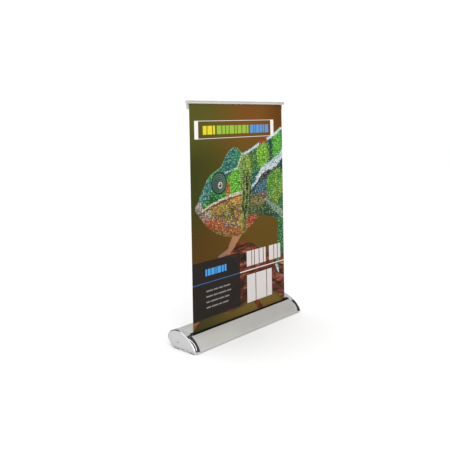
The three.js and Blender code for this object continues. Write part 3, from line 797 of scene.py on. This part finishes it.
def build_cap(side, hand):
    """A plated cap: a crowned band, a rounded rim, a recess for the face plate, a hollow inside."""
    rim, depth, fall = 2.8 * MM, 13 * MM, 0.9 * MM

    def ring(inward, step):
        return at_x(inset(step), side * (HALF_LENGTH - inward))

    def band(inward):
        """How far the band has fallen away from its full size, more towards the face."""
        return fall * (1 - inward / depth) ** 2.2

    soft, round_over = 0.4 * MM, 2 * MM
    rings = [ring(6 * MM, rim), ring(depth, rim)]
    for a in np.linspace(0, math.pi / 2, 5):
        rings.append(ring(depth - soft * (1 - math.cos(a)), soft * (1 - math.sin(a))))
    rings += [ring(inward, band(inward)) for inward in np.linspace(depth - soft, round_over, 12)[1:-1]]
    for a in np.linspace(0, math.pi / 2, 7):
        rings.append(ring(
            round_over * (1 - math.sin(a)),
            band(round_over) + (rim - 0.15 * MM - band(round_over)) * (1 - math.cos(a)),
        ))
    rings += [ring(0.2 * MM, rim), ring(2.2 * MM, rim)]
    points, faces = loft(rings)
    if side > 0:
        faces = [face[::-1] for face in faces]
    add_mesh(f"cap_shell_{hand}", points, faces, CHROME, "cassette", 40, f"end_cap_{hand}")

    edge = 0.25 * MM
    inner = rim + FIT_GAP * 0.6
    plate = loft([
        ring(1.5 * MM, inner),
        ring(0.3 * MM + edge, inner),
        ring(0.3 * MM + edge * 0.3, inner + edge * 0.3),
        ring(0.3 * MM, inner + edge),
    ])
    points, faces = plate
    if side > 0:
        faces = [face[::-1] for face in faces]
    mesh = plain_mesh("plate", points, faces)
    if side < 0:
        rings = []
        for radius, inward in ((1.4, 4), (1.4, 0.45), (1.55, 0.2), (1.55, -1)):
            rings.append([
                (side * (HALF_LENGTH - inward * MM),
                 ROLLER_Y + radius * MM * math.cos(a),
                 ROLLER_Z + radius * MM * math.sin(a))
                for a in np.linspace(0, 2 * math.pi, 33)[:-1]
            ])
        points, faces = loft(rings)
        mesh = cut(mesh, plain_mesh("eye", points, [face[::-1] for face in faces]))
    finish_mesh(f"cap_face_{hand}", mesh, PLATE, "cassette", 40, f"cap_plate_{hand}")


def build_spindle():
    """The hexagonal bar, with a round end that shows in the left face plate's hole."""
    low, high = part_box("spindle")
    flat, journal, soft = 2.5 * MM, 1.3 * MM, 0.3 * MM

    def ring(x, size, six):
        out = []
        for a in np.linspace(0, 2 * math.pi, 49)[:-1]:
            corner = abs((a - math.pi / 6) % (math.pi / 3) - math.pi / 6)
            radius = size * (math.cos(math.pi / 6) / math.cos(math.pi / 6 - corner) if six else 1)
            out.append((x, ROLLER_Y + radius * math.cos(a), ROLLER_Z + radius * math.sin(a)))
        return out

    end = -HALF_LENGTH + 0.35 * MM
    rings = [
        ring(end, journal - soft, False), ring(end + soft / 2, journal, False),
        ring(low.x, journal, False), ring(low.x, flat - soft, True),
        ring(low.x + soft, flat, True), ring(high.x - soft, flat, True),
        ring(high.x, flat - soft, True),
    ]
    points, faces = loft(rings)
    add_mesh("spring_spindle", points, faces, BLACK, "cassette", 30, "spindle")


build_spindle()
for side, hand in ((-1, "left"), (1, "right")):
    build_cap(side, hand)
    for place in ("front", "rear"):
        name = f"foot_pad_{hand}_{place}"
        low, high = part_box(name)
        r = 1.6 * MM
        corners = [(low.x, low.y, r), (high.x, low.y, r), (high.x, high.y, r), (low.x, high.y, r)]
        pad = solid_profile(name, [rounded(corners)], low.z, high.z, 0.35 * MM, axis="z")
        finish_mesh(f"rubber_{hand}_{place}", pad, RUBBER, "cassette", 40, name)


# ---- film ----
FILM_THICKNESS = 0.2 * MM
FILM_TAIL = 6 * MM  # height of its lower edge, inside the cassette


def build_film():
    """The printed sheet, bowed forward a little here and there, flat at the rail and the slot.

    It hangs from the rail, and its tail goes on down into the cassette, so that the slot
    still holds film when the rail is lifted off the hook."""
    across, down = 72, 114
    low, high = FILM_LOW, FILM_HIGH
    half = FILM_THICKNESS / 2
    plane = low.y - half
    height = high.z - FILM_TAIL

    def lift(x, z):
        share = (z - low.z) / (high.z - low.z)
        held = math.sin(math.pi * share) ** 0.7 if 0 < share < 1 else 0
        slow = math.sin(x / FILM_WIDTH * 5.2 + 0.7 + 1.3 * share) * math.cos(share * 4.1 + 0.4)
        edge = (2 * abs(x) / FILM_WIDTH) ** 6
        return -held * (0.15 * (1 + slow) + 0.2 * edge) * MM

    points, faces = [], []
    for side in (-1, 1):
        for j in range(down + 1):
            z = FILM_TAIL + height * j / down
            for i in range(across + 1):
                x = low.x + FILM_WIDTH * i / across
                points.append((x, plane + side * half + lift(x, z), z))
    row, layer = across + 1, (across + 1) * (down + 1)
    for j in range(down):
        for i in range(across):
            a = j * row + i
            faces.append((a, a + 1, a + row + 1, a + row))
            faces.append((layer + a, layer + a + row, layer + a + row + 1, layer + a + 1))
    for i in range(across):
        faces.append((i, layer + i, layer + i + 1, i + 1))
        a = down * row + i
        faces.append((a, a + 1, layer + a + 1, layer + a))
    for j in range(down):
        a, b = j * row, j * row + across
        faces.append((a, a + row, layer + a + row, layer + a))
        faces.append((b, layer + b, layer + b + row, b + row))
    film = add_mesh("banner_sheet", points, faces, [FILM_FRONT, FILM_BACK], "rail", 40, "banner_film")
    layer_uv = film.data.uv_layers.new(name="print")
    tall = high.z - PRINT_BOTTOM
    for polygon in film.data.polygons:
        front = all(film.data.vertices[v].index < layer for v in polygon.vertices)
        polygon.material_index = 0 if front else 1
        for loop in polygon.loop_indices:
            x, _, z = film.data.vertices[film.data.loops[loop].vertex_index].co
            layer_uv.data[loop].uv = (x / FILM_WIDTH + 0.5, (z - PRINT_BOTTOM) / tall)
    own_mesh(film)


build_film()

# ---- top rail ----
HEAD = 6.4 * MM
HEAD_WALL = 1.2 * MM
LEG_REAR = RAIL_HIGH.y
LEG_FRONT = LEG_REAR - 1.5 * MM
TOP = RAIL_HIGH.z


def head_arc(radius, front, steps=14):
    """The bullnose, from its top round the front to underneath."""
    centre = (front + radius, TOP - HEAD / 2)
    angles = np.linspace(math.pi / 2, 1.5 * math.pi, steps)
    return [(centre[0] + radius * math.cos(a), centre[1] + radius * math.sin(a)) for a in angles]


def build_rail():
    """The bullnose, hollow, with the thin leg that the film is taped to."""
    outline = head_arc(HEAD / 2, RAIL_LOW.y) + rounded([
        (LEG_FRONT, TOP - HEAD, 0),
        (LEG_FRONT, RAIL_LOW.z, 0.6 * MM),
        (LEG_REAR, RAIL_LOW.z, 0.6 * MM),
        (LEG_REAR, TOP, 1 * MM),
    ])
    hollow = head_arc(HEAD / 2 - HEAD_WALL, RAIL_LOW.y + HEAD_WALL)
    hollow += [(LEG_FRONT, TOP - HEAD + HEAD_WALL), (LEG_FRONT, TOP - HEAD_WALL)]
    mesh = solid_profile("rail", [outline, hollow], RAIL_LOW.x, RAIL_HIGH.x, 0.15 * MM)
    finish_mesh("rail_profile", mesh, ANODISED, "rail", 30, "top_rail")


def build_rail_end(side, hand):
    """A moulded lid over the head, with the hole of its moulding pin at the rear."""
    low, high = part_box(f"rail_cap_{hand}")
    thick = 1.2 * MM
    span = (low.x, low.x + thick) if side < 0 else (high.x - thick, high.x)
    face = head_arc(HEAD / 2, RAIL_LOW.y) + rounded([
        (LEG_FRONT, TOP - HEAD, 0),
        (LEG_REAR, TOP - HEAD, 0.6 * MM),
        (LEG_REAR, TOP, 1 * MM),
        (LEG_FRONT, TOP, 0),
    ])
    pin = [
        (LEG_FRONT + 0.1 * MM + 1 * MM * math.cos(a), TOP - 2.6 * MM + 1 * MM * math.sin(a))
        for a in np.linspace(0, 2 * math.pi, 17)[:-1]
    ]
    lid = solid_profile("lid", [face, pin], *span, 0.3 * MM)
    finish_mesh(f"rail_end_{hand}", lid, PLATE, "rail", 40, f"rail_cap_{hand}")


def build_bracket():
    """The upturned channel behind the rail's middle that takes the pole's hook."""
    low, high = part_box("rail_bracket")
    wall, soft = 1 * MM, 0.4 * MM
    roof = high.z - 1.6 * MM
    rear_bottom = low.z + 1 * MM
    loop = rounded([
        (low.y, high.z, soft),
        (low.y, low.z, soft),
        (low.y + wall, low.z, soft),
        (low.y + wall, roof, 0.5 * MM),
        (high.y - wall, roof, 0.5 * MM),
        (high.y - wall, rear_bottom, soft),
        (high.y, rear_bottom, soft),
        (high.y, high.z, 1.2 * MM),
    ])
    mesh = solid_profile("bracket", [loop], low.x, high.x, 0.2 * MM)
    finish_mesh("hook_bracket", mesh, STEEL, "rail", 40, "rail_bracket")


build_rail()
build_rail_end(-1, "left")
build_rail_end(1, "right")
build_bracket()


# ---- pole ----
def pole_piece(name, profile, material, body, node):
    """A turned piece on the pole's axis, from (radius, z) pairs in metres."""
    points, faces = turned(profile, (0, POLE_Y))
    return add_mesh(name, points, faces, material, body, 30, node)


def pole_tube(name, body, node):
    low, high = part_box(node)
    outer, bore, soft = 4 * MM, 3.1 * MM, 0.25 * MM
    profile = [
        (bore, low.z + 12 * MM),
        (bore, low.z + soft),
        (bore + soft, low.z),
        (outer - soft, low.z),
        (outer, low.z + soft),
        (outer, high.z - soft),
        (outer - soft, high.z),
        (bore + soft, high.z),
        (bore, high.z - soft),
        (bore, high.z - 12 * MM),
    ]
    return pole_piece(name, profile, ANODISED, body, node)


pole_tube("tube_lower", "lower_pole", "pole_lower")
pole_tube("tube_upper", "upper_pole", "pole_upper")


def build_socket():
    low, high = SOCKET_LOW.z, SOCKET_HIGH.z
    shoulder = low + 5.7 * MM
    bore = 4.3 * MM
    pole_piece("socket_bush", [
        (0.2 * MM, low), (4.9 * MM, low), (5.2 * MM, low + 0.3 * MM), (5.2 * MM, shoulder),
        (6.4 * MM, shoulder), (6.4 * MM, high - 0.6 * MM), (6.2 * MM, high - 0.2 * MM),
        (5.8 * MM, high), (bore + 0.9 * MM, high), (bore + 0.3 * MM, high - 0.4 * MM),
        (bore, high - 1 * MM), (bore, low + 1.2 * MM), (0.2 * MM, low + 1.2 * MM),
    ], BLACK, "cassette", "pole_socket")


build_socket()


def build_ferrule():
    low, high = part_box("pole_ferrule")
    thin, thick, soft = 2.8 * MM, 4 * MM, 0.3 * MM
    middle = (low.z + high.z) / 2
    collar = [middle - 1 * MM, middle + 1 * MM]
    pole_piece("ferrule_spigot", [
        (thin - soft * 2, low.z), (thin, low.z + soft * 3), (thin, collar[0]),
        (thick - soft, collar[0]), (thick, collar[0] + soft), (thick, collar[1] - soft),
        (thick - soft, collar[1]), (thin, collar[1]), (thin, high.z - soft * 3),
        (thin - soft * 2, high.z),
    ], BLACK, "lower_pole", "pole_ferrule")


build_ferrule()


def build_tip():
    """The end plug, with a domed shoulder round the slot that grips the hook."""
    low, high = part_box("pole_tip")
    base = high.z - 4 * MM
    points, faces = turned([
        (2 * MM, low.z), (2.8 * MM, low.z + 1 * MM), (2.8 * MM, base), (3.8 * MM, base),
        (4 * MM, base + 0.3 * MM), (4 * MM, high.z - 0.9 * MM), (3.6 * MM, high.z - 0.3 * MM),
        (2.9 * MM, high.z),
    ], (0, POLE_Y))
    slot_size = Vector((12.6, 2.2, 8)) * MM
    corners = [
        (sx * slot_size.x / 2, POLE_Y + sy * slot_size.y / 2, base + 0.6 * MM + (sz > 0) * slot_size.z)
        for sz in (-1, 1) for sx, sy in ((-1, -1), (1, -1), (1, 1), (-1, 1))
    ]
    box_points, box_faces = loft([corners[:4], corners[4:]])
    mesh = cut(plain_mesh("tip", points, faces), plain_mesh("room", box_points, box_faces))
    finish_mesh("tip_plug", mesh, BLACK, "upper_pole", 30, "pole_tip")


build_tip()


def build_hook():
    """A bent steel strip with rounded bends and a rounded upper end."""
    low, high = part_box("pole_hook")
    half = 0.8 * MM
    front = low.y + half
    bend = 454 * MM
    centre = [
        (POLE_Y, low.z), (POLE_Y, bend - 3 * MM), (POLE_Y, bend - 1.4 * MM),
        (POLE_Y - 1.2 * MM, bend + 1.2 * MM), (front + 1.5 * MM, bend + 6.4 * MM),
        (front, bend + 9.4 * MM), (front, bend + 12 * MM), (front, high.z),
    ]
    fine = []
    for i in range(len(centre) - 1):
        p = [Vector(centre[max(0, min(len(centre) - 1, k))]) for k in (i - 1, i, i + 1, i + 2)]
        for t in np.linspace(0, 1, 7)[: 7 if i == len(centre) - 2 else 6]:
            fine.append(0.5 * (2 * p[1] + (p[2] - p[0]) * t
                               + (2 * p[0] - 5 * p[1] + 4 * p[2] - p[3]) * t**2
                               + (3 * p[1] - p[0] - 3 * p[2] + p[3]) * t**3))
    rings = []
    for i, here in enumerate(fine):
        along = (fine[min(i + 1, len(fine) - 1)] - fine[max(i - 1, 0)]).normalized()
        side = Vector((along.y, -along.x)) * half
        down = high.z - here.y
        wide = 6 * MM
        if down < 2.5 * MM:
            wide -= 2.5 * MM * (1 - math.sqrt(max(0, 1 - (1 - down / (2.5 * MM)) ** 2)))
        soft = 0.25
        ring = []
        for sx, sy in ((-1, -1), (1, -1), (1, 1), (-1, 1)):
            for ex, ey in (((0, soft), (soft, 0)) if sx * sy > 0 else ((soft, 0), (0, soft))):
                offset = side * (sy * (1 - ey))
                ring.append((sx * (wide - ex * half), here.x + offset.x, here.y + offset.y))
        rings.append(ring)
    points, faces = loft(rings)
    add_mesh("hook_blade", points, faces, STEEL, "upper_pole", 40, "pole_hook")


build_hook()

# ---- pieces whose CAD shape stays ----
KEPT = {
    "roller_tube": ANODISED,
    "roller_bush_left": BLACK,
    "roller_bush_right": BLACK,
    "idler_pin": STEEL,
    "retract_spring": STEEL,
    "spring_anchor": BLACK,
    "film_roll": LINER,
    "film_leader": LINER,
    "rail_tape": LINER,
}
KEPT.update({name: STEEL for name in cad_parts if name.startswith("cap_screw")})
for name, material in KEPT.items():
    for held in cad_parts[name].material_slots:
        held.material = material


# ---- floor, light and surroundings ----
# Directions across and down a set of panels that the chrome band mirrors side by side.
PANEL_ACROSS = (0.856, 0.318, -0.406)
PANEL_DOWN = (0, -0.79, -0.62)


def build_studio():
    floor = bpy.data.objects.new("floor", plain_mesh(
        "floor", [(-9, -9, 0), (9, -9, 0), (9, 9, 0), (-9, 9, 0)], [(0, 1, 2, 3)]
    ))
    bpy.context.scene.collection.objects.link(floor)
    material, g, shader, place = new_material("floor", Roughness=0.7, Specular_IOR_Level=0)
    clouds = g.noise(place, 3, 2)
    g.feed(shader.inputs["Base Color"], g.mix(clouds, tint(248, 248, 248), tint(251, 251, 251)))
    floor.data.materials.append(material)

    world = bpy.data.worlds.new("studio")
    bpy.context.scene.world = world
    world.use_nodes = True
    g = Graph(world.node_tree)
    surface = world.node_tree.nodes["Background"]
    surface.inputs["Color"].default_value = (1, 1, 1, 1)
    towards = g.node("ShaderNodeTexCoord").outputs["Generated"]

    def facing(direction, low, high):
        """A soft round patch of the surroundings."""
        return g.ramp(g.node("ShaderNodeVectorMath", {
            0: towards, 1: Vector(direction).normalized(),
        }, operation="DOT_PRODUCT").outputs["Value"], low, high)

    def panel(wide, tall, soft):
        """An upright panel in front and to the right, between two places each way."""
        sides = []
        for axis, (low, high) in ((PANEL_ACROSS, wide), (PANEL_DOWN, tall)):
            sides.append(facing(axis, low - soft, low + soft))
            sides.append(g.ramp(facing(axis, high - soft, high + soft), 0, 1, 1, 0, smooth=False))
        total = sides[0]
        for side in sides[1:]:
            total = g.math("MULTIPLY", total, side)
        return total

    def shaded(level, mask, to_level):
        return g.math("ADD", g.math("MULTIPLY", level, g.math("SUBTRACT", 1.0, mask)),
                      g.math("MULTIPLY", mask, to_level))

    mirrored = g.ramp(facing((-0.55, -0.15, 0.82), 0.35, 0.85), 0, 1, 0.66, 1.25, smooth=False)
    mirrored = shaded(mirrored, panel((-0.26, 0.25), (-0.56, 0.48), 0.03), 0.07)
    mirrored = shaded(mirrored, panel((0.375, 0.95), (-0.34, 0.40), 0.03), 0.05)
    mirrored = shaded(mirrored, panel((0.0, 0.035), (-0.48, 0.36), 0.008), 1.7)
    mirrored = shaded(mirrored, facing((-0.155, 0.887, 0.433), 0.72, 0.80), 0.04)
    paths = g.node("ShaderNodeLightPath").outputs
    g.feed(surface.inputs["Strength"], g.ramp(paths["Is Glossy Ray"], 0, 1, 1.07, mirrored, smooth=False))

    def soft_box(name, place, target, size, power):
        light = bpy.data.lights.new(name, "AREA")
        light.shape, light.size, light.size_y, light.energy = "RECTANGLE", *size, power
        lamp = bpy.data.objects.new(name, light)
        bpy.context.scene.collection.objects.link(lamp)
        lamp.visible_camera = False
        lamp.location = place
        lamp.rotation_mode = "QUATERNION"
        lamp.rotation_quaternion = (Vector(target) - Vector(place)).to_track_quat("-Z", "Y")

    soft_box("key", (-1.0, -1.1, 1.2), (-0.1, 0, 0.05), (0.9, 0.9), 7)


build_studio()
bpy.context.scene.view_settings.view_transform = "Standard"

bpy.context.view_layer.update()
